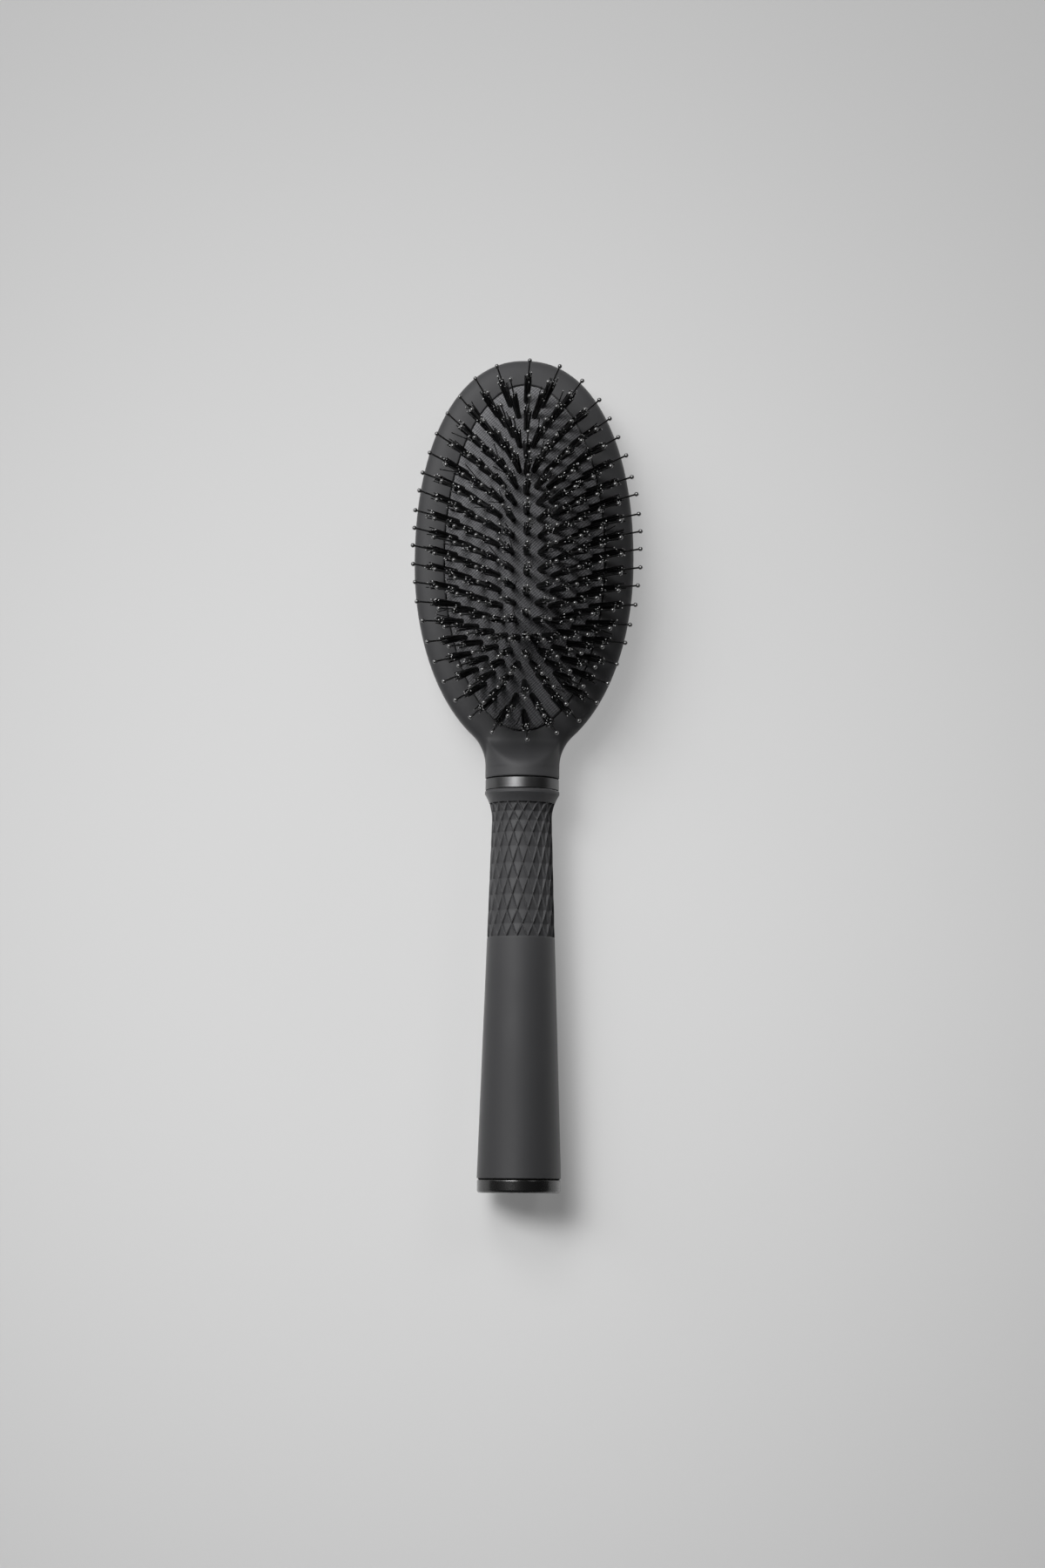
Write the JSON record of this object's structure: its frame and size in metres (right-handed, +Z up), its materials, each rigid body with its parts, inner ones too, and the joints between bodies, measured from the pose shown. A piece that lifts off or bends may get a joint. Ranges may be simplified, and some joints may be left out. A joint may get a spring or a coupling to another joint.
{
  "type": "styling brush",
  "caption": "Oval cushion hair brush with ball-tipped pins and bristle tufts on a domed air cushion, a metal collar and a tapered round grip with a diamond net.",
  "frame": {"origin": "under the middle of the brush's box, on the surface that the brush lies on with its pins up", "axes": "+Y along the brush from the butt of the handle to the tip of the head, +Z up out of the head's face, +X to the right with the tip away from the viewer"},
  "size_m": [0.0679, 0.249, 0.0468],
  "materials": {
    "head_plastic": "soft-touch matte charcoal coating, very fine grain",
    "grip_soft_touch": "soft-touch matte charcoal coating with moulded diamond net",
    "collar_metal": "dark gunmetal, brushed round its circumference",
    "cap_gloss": "polished black",
    "core_plastic": "as moulded",
    "screw_steel": "zinc plated",
    "cushion_rubber": "matte rubber",
    "cushion_cloth": "dark grey woven cloth with fine diagonal ribs",
    "tuft_nylon": "glossy black nylon"
  },
  "bodies": {
    "brush_body": {"head_body": "head_plastic", "collar_ring": "collar_metal", "grip_sleeve": "grip_soft_touch", "handle_core": "core_plastic", "tang_screw": "screw_steel", "end_cap": "cap_gloss"},
    "cushion": {"cushion_pad": "cushion_rubber", "tuft_ring_1_quarter_1": "tuft_nylon", "tuft_ring_1_quarter_2": "tuft_nylon", "tuft_ring_1_quarter_3": "tuft_nylon", "tuft_ring_1_quarter_4": "tuft_nylon", "tuft_ring_2_quarter_1": "tuft_nylon", "tuft_ring_2_quarter_2": "tuft_nylon", "tuft_ring_2_quarter_3": "tuft_nylon", "tuft_ring_2_quarter_4": "tuft_nylon", "tuft_ring_3_quarter_1": "tuft_nylon", "tuft_ring_3_quarter_2": "tuft_nylon", "tuft_ring_3_quarter_3": "tuft_nylon", "tuft_ring_3_quarter_4": "tuft_nylon", "tuft_ring_4_quarter_1": "tuft_nylon", "tuft_ring_4_quarter_2": "tuft_nylon", "tuft_ring_4_quarter_3": "tuft_nylon", "tuft_ring_4_quarter_4": "tuft_nylon", "tuft_ring_5_quarter_1": "tuft_nylon", "tuft_ring_5_quarter_2": "tuft_nylon", "tuft_ring_5_quarter_3": "tuft_nylon", "tuft_ring_5_quarter_4": "tuft_nylon", "tuft_line_middle": "tuft_nylon"}
  },
  "joints": [
    {"name": "cushion_press", "type": "slide", "parent": "brush_body", "child": "cushion", "axis": [0, 0, -1], "range_m": [0, 0.0025], "stiffness_N_per_m": 3000, "springref_m": -0.0005}
  ]
}
